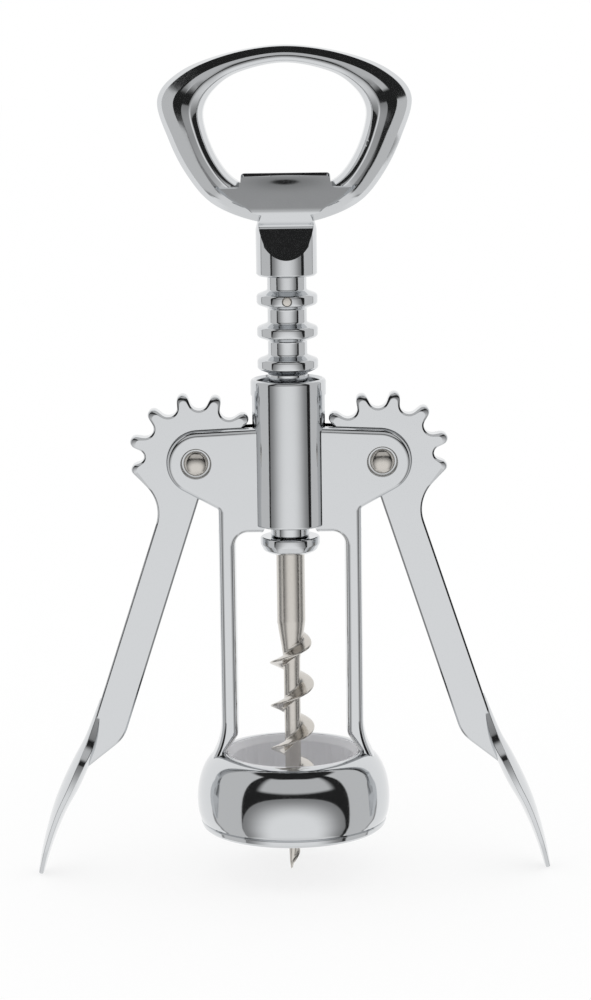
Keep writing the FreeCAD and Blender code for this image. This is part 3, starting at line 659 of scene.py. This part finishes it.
def build_collar():
    """A round-bottomed ring at the rack's lower end."""
    collar = lathe(soft_outline((3.1, 60.8, 0.1), (3.1, 64.3, 0.15), (6.4, 64.3, 0.4),
                                (6.4, 62.7, 0.9), (5.75, 61.35, 0.9), (4.7, 60.8, 0.3)))
    hand_over(new_piece("turned_collar", collar, True), "collar", "plated_rack", "thrust_collar")


RIBS, RIB_RISE = 20, 0.25
RIB_ZONE = (13.58, 14.9)     # the ribs are within this radius and below this height


def build_bush():
    """The plastic bush: a wide bore, a seat for the bottle's lip, and a neck with a soft brim and
    low upright ribs, where the radius falls by the rise over a clipped cosine of the angle."""
    profile = soft_outline(
        (17.58, 0.6, 0.2), (17.58, 10.38, 0.1), (14.68, 10.38, 0.1), (14.68, 16.6, 0.3),
        (14.2, 16.6, 0.3), (13.2, 15.2, 0.5), (13.5, 10.4, 0), (13.6, 9.0, 0.15),
        (15.2, 9.0, 0.3), (15.5, 0.6, 0.2))
    shell = lathe(profile, RIBS * 12)
    radius = np.hypot(shell[..., 0], shell[..., 1])
    around = np.arctan2(shell[..., 1], shell[..., 0])
    neck = (radius < RIB_ZONE[0]) & (shell[..., 2] < RIB_ZONE[1])
    rib = 1 - RIB_RISE / radius * neck * np.clip(4 * np.cos(RIBS * around) - 2.6, 0, 1)
    shell[..., :2] *= rib[..., None]
    bush = new_piece("moulded_bush", shell, True)
    hand_over(bush, "frame", "bush_plastic", "bottle_bush")


# --- worm ---
# from the shank down to the point: height, core radius, flight radius, shift to the left
WORM = (
    (45.6, 3.05, 3.05, 0.0),
    (43.0, 2.7, 3.6, 0.0),
    (40.0, 2.2, 4.6, 0.0),
    (37.0, 1.8, 4.75, 0.0),
    (8.0, 1.7, 4.75, 0.0),
    (3.0, 1.4, 3.4, 0.0),
    (-1.5, 1.15, 1.9, 0.05),
    (-6.0, 0.9, 1.75, 0.2),
    (-8.5, 0.55, 0.95, 0.45),
    (-10.0, 0.2, 0.2, 0.62),
    (-10.25, 0.04, 0.04, 0.66),
)
FLIGHT_LEFT_Z = 26.6         # the flight passes the left side at this height
SHANK_TOP, SHANK_LOW = 84.0, 46.0
RIDGE_HALF = 50              # degrees
RIDGE_AWAY = (5, 8, 12, 36, 42, RIDGE_HALF)          # degrees from the ridge's middle,
RIDGE_SHARE = (1, 0.97, 0.88, 0.14, 0.04, 0)         # and how much of it stands there


def build_worm(shapes):
    """A level slice is a round core with one ridge: radius = core + (reach - core) · ridge(angle),
    where the ridge falls from a narrow rim to a wide foot. The slice turns once in each pitch."""
    heights = np.linspace(WORM[0][0], WORM[-1][0], 330)
    table = np.array(WORM)[::-1].T
    core, reach, shift = (np.interp(heights, table[0], row)[:, None] for row in table[1:])
    on_ridge = np.linspace(-RIDGE_HALF, RIDGE_HALF, 33)
    angle = np.append(on_ridge, np.linspace(RIDGE_HALF, 360 - RIDGE_HALF, 26)[1:-1])
    ridge = np.interp(np.minimum(angle % 360, -angle % 360), RIDGE_AWAY, RIDGE_SHARE)
    turn = 180 + 360 * (heights[:, None] - FLIGHT_LEFT_Z) / shapes.flight_pitch
    level = (core + (reach - core) * ridge) * heading(turn + angle) - shift
    auger = np.stack([level.real, level.imag, heights[:, None] + 0 * angle], -1)
    shank = auger[:1].repeat(2, 0)
    shank[:, :, 2] = [[SHANK_TOP], [SHANK_LOW]]
    worm = new_piece("steel_worm", np.concatenate([shank, auger]))
    hand_over(worm, "spindle", "nickel_steel", "worm")


# --- handle ---
# half of the grip's ring from the stem to the top: outline outside x and z, outline inside x and
# z, half depth, width of the outer flank, and how much of the section is the top's
GRIP = (
    (0.0, 131.4, 0.0, 138.8, 5.3, 1.4, 0.0),
    (8.2, 132.6, 6.2, 139.5, 5.3, 1.35, 0.0),
    (15.9, 136.2, 11.0, 141.6, 5.2, 1.3, 0.0),
    (21.0, 142.2, 14.4, 146.0, 5.2, 1.3, 0.0),
    (24.7, 149.7, 16.6, 151.6, 5.35, 1.3, 0.0),
    (26.9, 158.3, 17.0, 156.2, 5.4, 1.2, 0.15),
    (21.8, 164.1, 14.6, 160.3, 4.7, 0.9, 0.85),
    (11.8, 167.8, 9.5, 163.7, 3.8, 0.3, 1.0),
    (0.0, 169.35, 0.0, 165.6, 3.3, 0.2, 1.0),
)
# the front half of a section, from the outer outline to the inner one: share of the half width
# (less the flank where the first number says so), share of the half depth, radius
SIDE_SECTION = (
    (0, 1.0, 0.0, 0.7), (1, 1.0, 0.36, 0.4), (0, 0.3, 0.66, 9.0), (0, -0.1, 0.86, 2.0),
    (0, -0.46, 1.0, 0.5), (0, -0.77, 0.847, 0.8), (0, -0.97, 0.42, 1.5), (0, -1.0, 0.0, 1.5),
)
TOP_SECTION = (
    (0, 1.0, 0.0, 0.7), (1, 1.0, 0.57, 0.3), (0, 0.2, 0.89, 0.4), (0, 0.0, 0.96, 1.0),
    (0, -0.32, 1.0, 2.0), (0, -0.7, 0.97, 0.5), (0, -0.95, 0.53, 0.8), (0, -1.0, 0.0, 0.8),
)
LIP_BACK, LIP_CHAMFER = 0.6, 0.45
LIP_BEND, LIP_FRONT, LIP_DROP = -1.1, -2.2, 1.39     # its top edge drops from the bend forwards
LIP_SIDE = (4.5 + 132j, 9.5 + 139.3j, 9.5 + 142.5j)
LIP_RADII = (0, 0.3, 0.8, 0.8, 0.3, 0)
FACE_TOP, FACE_LOW, FACE_WIDE = 150.0, 124.0, 20
# the lip's face from the side: depth, height, corner radius
FACE_LINE = ((-0.6, FACE_TOP, 0), (-2.75, 132.9, 5.0), (-1.5, 131.2, 0.5), (-6.8, FACE_LOW, 0))
DENT, DENT_Z, DENT_HALF = 0.15, 141.8, (6.0, 1.6)    # shallow, left in the face by polishing
CUT_FRONT = -9.0
# the right half of the hollow's outline from its shoulder down to the stem's middle
HOLLOW_SIDE = ((15.2, 140.2), (14.2, 139.1), (11.4, 136.9), (8.2, 135.0), (6.7, 132.9),
               (6.0, 130.9), (4.9, 128.0), (3.3, 125.0), (0.0, 123.5))
HOLLOW_CORNER = (10.4 + 147j, 10.4 + 139.8j, 13.4 + 139.8j)  # above the shoulder, beside the lip
HOLLOW_MIDDLE = 137j
HOLLOW_LEVELS = ((-8.0, 1.14), (-4.0, 1.0), (0.0, 0.9))      # depth, and scale about the middle


def grip_ring():
    """Sections across the grip, on a smooth closed run through the rows. A section lies square to
    the front plane, between its outer and its inner point, and its corners are rounded."""
    rows = np.array(GRIP)
    left = rows[-2:0:-1] * (-1, 1, -1, 1, 1, 1, 1)
    rows = smoothed(np.concatenate([rows, left]), 14, True)
    outer, inner = rows[:, 0] + 1j * rows[:, 1], rows[:, 2] + 1j * rows[:, 3]
    depth, flank, top = rows[:, 4:5], rows[:, 5:6], rows[:, 6:]
    reach = abs(outer - inner)[:, None] / 2
    out = (outer - inner)[:, None] / (2 * reach)
    side_part, top_part = np.array(SIDE_SECTION).T, np.array(TOP_SECTION).T
    less, share, deep, radius = side_part[:, None] + top * (top_part - side_part)[:, None]
    front = reach * share - less * flank - 1j * depth * deep
    section = np.concatenate([front, front[:, -2:0:-1].conjugate()], 1)
    radius = np.concatenate([radius, radius[:, -2:0:-1]], 1)
    line = rounded(section, radius, 4)
    place = (outer + inner)[:, None] / 2 + out * line.real
    return layered(place, line.imag)


def lip_face():
    """What lies in front of the lip's face. The face is a line of depth over height, the same at
    every width, with a dent: e^-((across / half width)² + (height / half height)²)."""
    side = soft_outline(*FACE_LINE)
    up = np.linspace(FACE_TOP, FACE_LOW, 105)
    across = np.linspace(-FACE_WIDE, FACE_WIDE, 81)[:, None]
    dent = np.exp(-(across / DENT_HALF[0]) ** 2 - ((up - DENT_Z) / DENT_HALF[1]) ** 2)
    face = np.interp(-up, -side.imag, side.real) + DENT * dent
    face = np.pad(face, ((0, 0), (0, 2)), constant_values=CUT_FRONT)
    return layered(across + 1j * np.append(up, [FACE_LOW, FACE_TOP]), face)


def lip_hollow():
    """The hollow in front of the lip, seen from the front: as wide as the lip above the notches
    beside it, wider below them, then curved in like a vase and closed round the stem. It narrows
    towards the back."""
    right = smoothed(HOLLOW_SIDE, 6)
    right = np.append(HOLLOW_CORNER, right[:, 0] + 1j * right[:, 1])
    outline = np.concatenate([right, -right[-2::-1].conjugate()])
    depth, scale = np.array(HOLLOW_LEVELS).T[..., None]
    return layered(HOLLOW_MIDDLE + (outline - HOLLOW_MIDDLE) * scale, depth)


def lip_tongue():
    """The lip itself: widening upwards, with a top edge that slopes down at the front and has a
    chamfer at the back."""
    depth = np.array([LIP_FRONT, LIP_BEND, LIP_BACK - LIP_CHAMFER, LIP_BACK])[:, None]
    drop = np.array([LIP_DROP, 0, 0, LIP_CHAMFER])[:, None]
    side = np.array(LIP_SIDE)
    outline = np.concatenate([side, -side[::-1].conjugate()]) - 1j * drop * [0, 0, 1, 1, 0, 0]
    return layered(rounded(outline, LIP_RADII), depth)


def build_handle():
    """Grip ring, cap lifter's lip and stem in one casting, with a spigot for the rack."""
    handle = new_piece("cast_handle", grip_ring(), True)
    stem = lathe(soft_outline(
        (0, 107.3, 0), (2.6, 107.3, 0.3), (2.6, RACK_TOP, 0), (6.1, RACK_TOP, 0.1),
        (6.5, 121.15, 0.3), (6.5, 130.6, 3.0), (5.6, 134.4, 1.5), (3.0, 136.8, 1.0),
        (0, 136.8, 0), steps=5))
    hole = crosswise(drum(CROSS_HOLE_R, -8, 8, count=48), 0, CROSS_Z)
    space = combine(new_piece("space", lip_face()),
                    ("INTERSECT", new_piece("hollow", lip_hollow())))
    combine(handle, ("UNION", new_piece("stem", stem)),
            ("UNION", new_piece("tongue", lip_tongue())),
            ("DIFFERENCE", space), ("DIFFERENCE", new_piece("hole", hole)))
    hand_over(handle, "spindle", "plated_casting", "opener_handle")


# --- studio ---
FLOOR_GLOW = 0.72            # the share of the floor that shows no shadow
FLOOR_HALF_M, FLOOR_GAP_M = 3.0, 0.0002      # half its side, and its gap under the object

# Flags and panels, seen from the object: brightness, and where it lies in degrees, from and to,
# with its edge. The lean is measured from straight up to the front, and the azimuth from the
# front to the right. The spread is the azimuth · cos(easing · elevation), below the horizon.
# Later ones cover earlier ones, and what none covers is white.
CARDS = (
    ("left panel", 0.68, {"azimuth": (-110, -60, 1.0)}),
    ("right panel", 0.68, {"azimuth": (60, 114, 1.0)}),
    ("left gap", 0.35, {"azimuth": (-115, -110, 1.0)}),
    ("right gap", 0.35, {"azimuth": (114, 118, 1.0)}),
    ("front flag", 0.02, {"spread": (-64, 69, 0.7)}),
    ("overhead strip", 0.62, {"azimuth": (-46, 52, 6.0), "elevation": (25, 70, 3)}),
    ("overhead flag", 0.02, {"elevation": (60, 95, 3), "lean": (-9, 27, 1)}),
)
EASING = 0.7                 # the share of the elevation that counts
# The front soft box has straight sides and a rounded top, and dims from its middle to its rim:
# spread of its sides, elevation of its shoulder, rise of its top, how square its top corners are,
# share of the way to the rim where it starts to dim, brightness at the rim, and its edge.
BOX_SIDE, BOX_SHOULDER, BOX_RISE, BOX_SQUARE = 64.0, -30.0, 47.0, 2.2
BOX_FULL, BOX_RIM, BOX_EDGE = 0.38, 0.28, (0.98, 1.01)
# The white table covers the box and all the cards below.
TABLE, TABLE_GLOW = (-95, -54, 4), 0.9
SMOOTH = {"interpolation_type": "SMOOTHSTEP"}


def card_mask(tree, degrees, spans):
    """1 inside all of a card's spans, falling smoothly over their edges to 0."""
    mask = 1.0
    for name, (start, end, edge) in spans.items():
        offset = add_node(tree, "ShaderNodeMath", {"operation": "SUBTRACT"}, _0=degrees[name],
                          _1=(start + end) / 2)
        away = add_node(tree, "ShaderNodeMath", {"operation": "ABSOLUTE"}, _0=offset)
        half = (end - start) / 2
        inside = add_node(tree, "ShaderNodeMapRange", SMOOTH, _0=away,
                          _1=half - edge, _2=half + edge, _3=1.0, _4=0.0)
        mask = add_node(tree, "ShaderNodeMath", {"operation": "MULTIPLY"}, _0=mask, _1=inside)
    return mask


def build_world(scene):
    """White to the camera and in plain light. Only reflections show the soft box, the panels,
    the flags and the table. The box and the front flag widen below the horizon as
    1 / cos(easing · elevation). The box ends where (across^n + rise^n)^(1/n) = 1."""
    world = bpy.data.worlds.new("studio")
    scene.world = world
    world.use_nodes = True
    tree = world.node_tree
    tree.nodes.clear()
    place = add_node(tree, "ShaderNodeTexCoord").outputs["Generated"]
    axes = add_node(tree, "ShaderNodeSeparateXYZ", Vector=place).outputs
    toward = add_node(tree, "ShaderNodeMath", {"operation": "MULTIPLY"}, _0=axes["Y"], _1=-1.0)
    azimuth = add_node(tree, "ShaderNodeMath", {"operation": "ARCTAN2"}, _0=axes["X"], _1=toward)
    elevation = add_node(tree, "ShaderNodeMath", {"operation": "ARCSINE"}, _0=axes["Z"])
    below = add_node(tree, "ShaderNodeMath", {"operation": "MINIMUM"}, _0=elevation, _1=0.0)
    eased = add_node(tree, "ShaderNodeMath", {"operation": "MULTIPLY"}, _0=below, _1=EASING)
    narrowing = add_node(tree, "ShaderNodeMath", {"operation": "COSINE"}, _0=eased)
    spread = add_node(tree, "ShaderNodeMath", {"operation": "MULTIPLY"}, _0=azimuth,
                      _1=narrowing)
    lean = add_node(tree, "ShaderNodeMath", {"operation": "ARCTAN2"}, _0=toward, _1=axes["Z"])
    angles = {"azimuth": azimuth, "elevation": elevation, "lean": lean, "spread": spread}
    degrees = {name: add_node(tree, "ShaderNodeMath", {"operation": "DEGREES"}, _0=angle)
               for name, angle in angles.items()}
    light = 1.0
    for _, brightness, spans in CARDS:
        light = add_node(tree, "ShaderNodeMix", _0=card_mask(tree, degrees, spans), _2=light,
                         _3=brightness)
    aside = add_node(tree, "ShaderNodeMath", {"operation": "ABSOLUTE"}, _0=degrees["spread"])
    across = add_node(tree, "ShaderNodeMapRange", {"clamp": False}, _0=aside, _2=BOX_SIDE)
    above = add_node(tree, "ShaderNodeMapRange", {"clamp": False}, _0=degrees["elevation"],
                     _1=BOX_SHOULDER, _2=BOX_SHOULDER + BOX_RISE)
    rise = add_node(tree, "ShaderNodeMath", {"operation": "MAXIMUM"}, _0=above, _1=0.0)
    powers = [add_node(tree, "ShaderNodeMath", {"operation": "POWER"}, _0=value, _1=BOX_SQUARE)
              for value in (across, rise)]
    both = add_node(tree, "ShaderNodeMath", {"operation": "ADD"}, _0=powers[0], _1=powers[1])
    reach = add_node(tree, "ShaderNodeMath", {"operation": "POWER"}, _0=both,
                     _1=1 / BOX_SQUARE)
    glow = add_node(tree, "ShaderNodeMapRange", SMOOTH, _0=reach,
                    _1=BOX_FULL, _2=1.0, _3=1.0, _4=BOX_RIM)
    within = add_node(tree, "ShaderNodeMapRange", SMOOTH, _0=reach,
                      _1=BOX_EDGE[0], _2=BOX_EDGE[1], _3=1.0, _4=0.0)
    light = add_node(tree, "ShaderNodeMix", _0=within, _2=light, _3=glow)
    light = add_node(tree, "ShaderNodeMix", _0=card_mask(tree, degrees, {"elevation": TABLE}),
                     _2=light, _3=TABLE_GLOW)
    ray = add_node(tree, "ShaderNodeLightPath").outputs
    glossy = add_node(tree, "ShaderNodeMix", _0=ray["Is Glossy Ray"], _2=1.0, _3=light)
    back = add_node(tree, "ShaderNodeBackground", Color=(1, 1, 1, 1), Strength=glossy)
    add_node(tree, "ShaderNodeOutputWorld", Surface=back)


def build_floor():
    """A white matt floor under the lowest point, with a soft shadow. Reflections show the
    studio's cards in the place of the floor, as over a glass table."""
    low = CAD_BOX[0].z - FLOOR_GAP_M
    mesh = bpy.data.meshes.new("floor")
    signs = ((-1, -1), (1, -1), (1, 1), (-1, 1))
    corners = [(x * FLOOR_HALF_M, y * FLOOR_HALF_M, low) for x, y in signs]
    mesh.from_pydata(corners, [], [(0, 1, 2, 3)])
    floor = bpy.data.objects.new("floor", mesh)
    bpy.context.scene.collection.objects.link(floor)
    floor.visible_glossy = False
    material, tree = new_material("white floor")
    matt = add_node(tree, "ShaderNodeBsdfDiffuse", Color=(1, 1, 1, 1))
    glow = add_node(tree, "ShaderNodeEmission", Color=(1, 1, 1, 1), Strength=1.0)
    ray = add_node(tree, "ShaderNodeLightPath").outputs
    share = add_node(tree, "ShaderNodeMath", {"operation": "MULTIPLY"}, _0=ray["Is Camera Ray"],
                     _1=FLOOR_GLOW)
    mix = add_node(tree, "ShaderNodeMixShader", Fac=share, _1=matt, _2=glow)
    add_node(tree, "ShaderNodeOutputMaterial", Surface=mix)
    mesh.materials.append(material)


def build_camera(scene, studio):
    """Looks along +Y and down, turned a little clockwise."""
    data = bpy.data.cameras.new("camera")
    data.lens = studio.lens
    data.sensor_width = 36.0
    camera = bpy.data.objects.new("camera", data)
    camera.location = (studio.aside, -studio.distance, studio.height)
    camera.rotation_mode = "XYZ"
    down = Euler((math.pi / 2 - studio.pitch, 0, 0)).to_matrix()
    camera.rotation_euler = (down @ Matrix.Rotation(-studio.roll, 3, "Z")).to_euler()
    scene.collection.objects.link(camera)
    scene.camera = camera


# --- operators ---
class CORKSCREW_OT_stage(bpy.types.Operator):
    """Camera, floor and studio light"""

    bl_idname = "corkscrew.stage"
    bl_label = "Stage"

    def execute(self, context):
        scene = context.scene
        scene.view_settings.view_transform = "Standard"
        build_world(scene)
        build_floor()
        build_camera(scene, scene.corkscrew_studio)
        return {"FINISHED"}


class CORKSCREW_OT_finishes(bpy.types.Operator):
    """Gives each node of the construction model its finish"""

    bl_idname = "corkscrew.finishes"
    bl_label = "Finishes"

    def execute(self, context):
        for part in frame["record"]["subparts"]:
            materials = frame["nodes"][part["node"]].data.materials
            materials.clear()
            materials.append(finish(part["material_slot"]))
        return {"FINISHED"}


class CORKSCREW_OT_frame(bpy.types.Operator):
    """Barrel, ears, legs and bell"""

    bl_idname = "corkscrew.frame"
    bl_label = "Frame casting"

    def execute(self, context):
        build_frame(context.scene.corkscrew_shapes)
        return {"FINISHED"}


class CORKSCREW_OT_levers(bpy.types.Operator):
    """The two geared levers"""

    bl_idname = "corkscrew.levers"
    bl_label = "Levers"

    def execute(self, context):
        build_levers(context.scene.corkscrew_shapes)
        return {"FINISHED"}


class CORKSCREW_OT_rivets(bpy.types.Operator):
    """The rivets that the levers turn on"""

    bl_idname = "corkscrew.rivets"
    bl_label = "Rivets"

    def execute(self, context):
        build_rivets()
        return {"FINISHED"}


class CORKSCREW_OT_rack(bpy.types.Operator):
    """The annular rack and its cross pin"""

    bl_idname = "corkscrew.rack"
    bl_label = "Rack and pin"

    def execute(self, context):
        build_rack(context.scene.corkscrew_shapes)
        return {"FINISHED"}


class CORKSCREW_OT_collar(bpy.types.Operator):
    """The collar under the rack"""

    bl_idname = "corkscrew.collar"
    bl_label = "Collar"

    def execute(self, context):
        build_collar()
        return {"FINISHED"}


class CORKSCREW_OT_bush(bpy.types.Operator):
    """The plastic bush in the bell"""

    bl_idname = "corkscrew.bush"
    bl_label = "Bush"

    def execute(self, context):
        build_bush()
        return {"FINISHED"}


class CORKSCREW_OT_worm(bpy.types.Operator):
    """The worm with its shank"""

    bl_idname = "corkscrew.worm"
    bl_label = "Worm"

    def execute(self, context):
        build_worm(context.scene.corkscrew_shapes)
        return {"FINISHED"}


class CORKSCREW_OT_handle(bpy.types.Operator):
    """Grip, cap lifter and stem"""

    bl_idname = "corkscrew.handle"
    bl_label = "Handle"

    def execute(self, context):
        build_handle()
        return {"FINISHED"}


GROUPS = {
    "corkscrew_finishes": CorkscrewFinishes,
    "corkscrew_shapes": CorkscrewShapes,
    "corkscrew_studio": CorkscrewStudio,
}
STEPS = (CORKSCREW_OT_stage, CORKSCREW_OT_finishes, CORKSCREW_OT_frame, CORKSCREW_OT_levers,
         CORKSCREW_OT_rivets, CORKSCREW_OT_rack, CORKSCREW_OT_collar, CORKSCREW_OT_bush,
         CORKSCREW_OT_worm, CORKSCREW_OT_handle)


class CORKSCREW_PT_panel(bpy.types.Panel):
    """Builds the corkscrew's looks step by step"""

    bl_label = "Wing Corkscrew"
    bl_idname = "CORKSCREW_PT_panel"
    bl_space_type = "VIEW_3D"
    bl_region_type = "UI"
    bl_category = "Corkscrew"

    def draw(self, context):
        scene = context.scene
        for step in STEPS:
            self.layout.operator(step.bl_idname)
        for name, group in GROUPS.items():
            for key in group.__annotations__:
                self.layout.prop(getattr(scene, name), key)


CLASSES = (*GROUPS.values(), *STEPS, CORKSCREW_PT_panel)


def register():
    for cls in CLASSES:
        bpy.utils.register_class(cls)
    for name, group in GROUPS.items():
        setattr(bpy.types.Scene, name, PointerProperty(type=group))


def unregister():
    for name in GROUPS:
        delattr(bpy.types.Scene, name)
    for cls in reversed(CLASSES):
        bpy.utils.unregister_class(cls)


def main():
    register()
    bpy.ops.corkscrew.stage()
    bpy.ops.corkscrew.finishes()
    bpy.ops.corkscrew.frame()
    bpy.ops.corkscrew.levers()
    bpy.ops.corkscrew.rivets()
    bpy.ops.corkscrew.rack()
    bpy.ops.corkscrew.collar()
    bpy.ops.corkscrew.bush()
    bpy.ops.corkscrew.worm()
    bpy.ops.corkscrew.handle()


if __name__ == "__main__":
    main()
